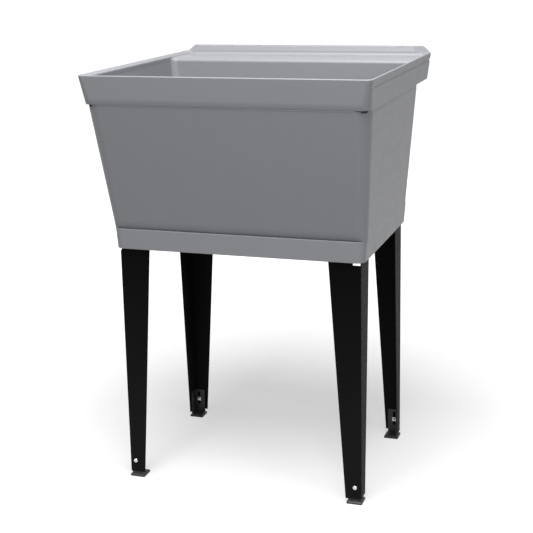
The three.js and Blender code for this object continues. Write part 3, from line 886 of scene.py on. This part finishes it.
for corner in CORNERS:
    outwards = -1 if corner.startswith("front") else 1
    finish(edged_copy(f"leg_{corner}", 0.35), "leg_steel", "sink", f"leg_{corner}")
    finish(edged_copy(f"foot_{corner}", 0.3), "foot_plastic", f"foot_{corner}", f"foot_{corner}")
    finish(bolt(f"foot_bolt_{corner}", outwards), "zinc", "sink", f"foot_bolt_{corner}")
    finish(nut(f"foot_nut_{corner}"), "zinc", "sink", f"foot_nut_{corner}")

finish(strainer(), "stainless", "sink", "drain_strainer")
finish(ring("drain_gasket", 22.3), "rubber", "sink", "drain_gasket")
finish(ring("drain_washer", 22.3), "white_plastic", "sink", "drain_washer")
finish(locknut(), "white_plastic", "sink", "drain_locknut")
finish(ring("tailpiece_washer", 18.4), "rubber", "sink", "tailpiece_washer")
finish(edged_copy("tailpiece", 0.2), "white_plastic", "sink", "tailpiece")
finish(edged_copy("tailpiece_nut", 0.4), "white_plastic", "sink", "tailpiece_nut")
finish(stopper(), "rubber", "stopper", "drain_stopper")
finish(pull_ring(), "stainless", "pull_ring", "stopper_ring")


# Studio ---------------------------------------------------------------------------------------


def make_camera():
    yaw, pitch, roll = CAMERA_YAW, CAMERA_PITCH, CAMERA_ROLL
    ahead = Vector((-math.sin(yaw) * math.cos(pitch), math.cos(yaw) * math.cos(pitch), -math.sin(pitch)))
    level = Vector((math.cos(yaw), math.sin(yaw), 0))
    down = ahead.cross(level)
    right = level * math.cos(roll) + down * math.sin(roll)
    up = level * math.sin(roll) - down * math.cos(roll)
    data = bpy.data.cameras.new("camera")
    data.sensor_width = SENSOR_MM
    data.lens = FOCAL_PIXELS / FRAME_PIXELS * SENSOR_MM
    data.shift_y = -PRINCIPAL_POINT_RISE / FRAME_PIXELS
    camera = bpy.data.objects.new("camera", data)
    axes = Matrix((right, up, -ahead)).transposed().to_4x4()
    camera.matrix_world = Matrix.Translation(Vector(CAMERA_PLACE)) @ axes
    bpy.context.scene.collection.objects.link(camera)
    bpy.context.scene.camera = camera


def area_light(name, place, target, size, power):
    data = bpy.data.lights.new(name, "AREA")
    data.shape = "RECTANGLE"
    data.size, data.size_y = size
    data.energy = power
    lamp = bpy.data.objects.new(name, data)
    lamp.location = place
    lamp.rotation_euler = (Vector(target) - Vector(place)).to_track_quat("-Z", "Y").to_euler()
    bpy.context.scene.collection.objects.link(lamp)


def seen_directly(tree):
    """1 where the camera, a mirror or glass looks, else 0."""
    path = tree.nodes.new("ShaderNodeLightPath")
    result = path.outputs[SEEN_BY[0]]
    for name in SEEN_BY[1:]:
        either = tree.nodes.new("ShaderNodeMath")
        either.operation = "MAXIMUM"
        tree.links.new(result, either.inputs[0])
        tree.links.new(path.outputs[name], either.inputs[1])
        result = either.outputs[0]
    return result


def seen_white(tree, shader, amount):
    """Adds light to a surface only where it is looked at directly."""
    scale = tree.nodes.new("ShaderNodeMath")
    scale.operation = "MULTIPLY"
    tree.links.new(seen_directly(tree), scale.inputs[0])
    tree.links.new(amount, scale.inputs[1])
    tree.links.new(scale.outputs[0], shader.inputs["Emission Strength"])
    shader.inputs["Emission Color"].default_value = (1, 1, 1, 1)


def make_floor():
    """A grey floor that glows where it is looked at, and fades to plain white away from the sink."""
    bm = bmesh.new()
    bmesh.ops.create_grid(bm, x_segments=2, y_segments=2, size=FLOOR_REACH)
    floor = mesh_object("floor", bm)
    floor.location.z = -FLOOR_DROP
    made = material("floor", (FLOOR_GREY, FLOOR_GREY, FLOOR_GREY), 0.9)
    tree = made.node_tree
    shader = shader_of(made)
    shader.inputs["Specular IOR Level"].default_value = 0
    place = tree.nodes.new("ShaderNodeTexCoord")
    length = tree.nodes.new("ShaderNodeVectorMath")
    length.operation = "LENGTH"
    tree.links.new(place.outputs["Object"], length.inputs[0])
    spread = tree.nodes.new("ShaderNodeMapRange")
    spread.inputs["From Min"].default_value = FLOOR_GLOW_REACH[0]
    spread.inputs["From Max"].default_value = FLOOR_GLOW_REACH[1]
    spread.inputs["To Min"].default_value = FLOOR_GLOW[0]
    spread.inputs["To Max"].default_value = FLOOR_GLOW[1]
    tree.links.new(length.outputs["Value"], spread.inputs["Value"])
    seen_white(tree, shader, spread.outputs["Result"])
    floor.data.materials.append(made)


def make_world(strength):
    """An even soft light, seen as plain white behind the sink and in its gloss."""
    world = bpy.data.worlds.new("studio")
    world.use_nodes = True
    tree = world.node_tree
    background = tree.nodes["Background"]
    background.inputs["Color"].default_value = (1, 1, 1, 1)
    mix = tree.nodes.new("ShaderNodeMix")
    mix.data_type = "FLOAT"
    mix.inputs["A"].default_value = strength
    mix.inputs["B"].default_value = 1.0
    tree.links.new(seen_directly(tree), mix.inputs["Factor"])
    tree.links.new(mix.outputs["Result"], background.inputs["Strength"])
    bpy.context.scene.world = world


make_camera()
make_floor()
make_world(WORLD_STRENGTH)
area_light("key", place=(0.1, -0.87, 2.9), target=(0, 0.05, 0.85), size=(1.3, 2.1), power=131)
area_light("right_fill", place=(1.6, -1.0, 1.6), target=(0.29, -0.1, 0.78), size=(0.8, 0.8), power=9)
bpy.context.scene.view_settings.view_transform = "Standard"
